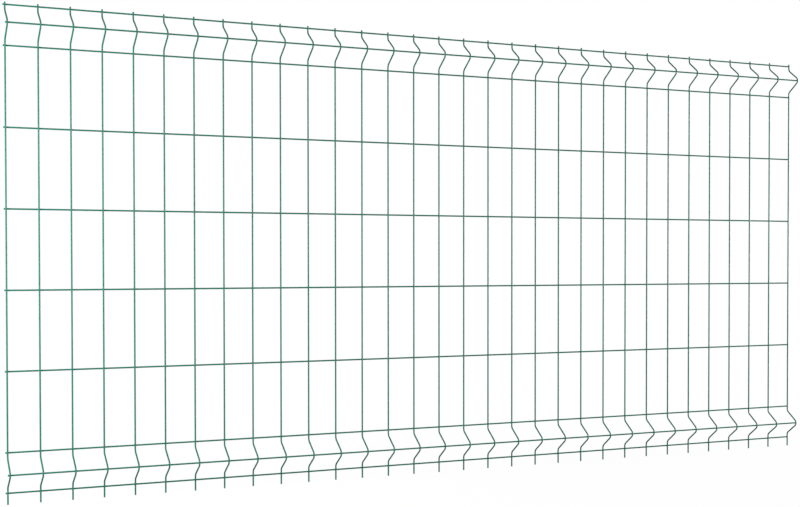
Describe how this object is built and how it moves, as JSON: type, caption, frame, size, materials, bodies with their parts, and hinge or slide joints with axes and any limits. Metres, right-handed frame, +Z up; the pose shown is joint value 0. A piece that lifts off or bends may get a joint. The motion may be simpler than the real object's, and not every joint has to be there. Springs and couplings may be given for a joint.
{
  "type": "welded mesh fence panel",
  "caption": "Welded wire mesh fence panel, coated green, with a V-shaped stiffening fold near the top and bottom and short spikes along the lower edge.",
  "frame": {"origin": "on the rear face of the lowest level wire, at the first upright's middle line, where the panel bears on the left post", "axes": "+X along the panel to the right, +Y out of the rear of the panel towards the posts, +Z up; the folds point to -Y"},
  "size_m": [2.428, 0.051, 1.2335],
  "materials": {
    "green_coating": "satin powder coat, moss green"
  },
  "bodies": {
    "root": {"mesh_panel": "green_coating"}
  },
  "joints": []
}
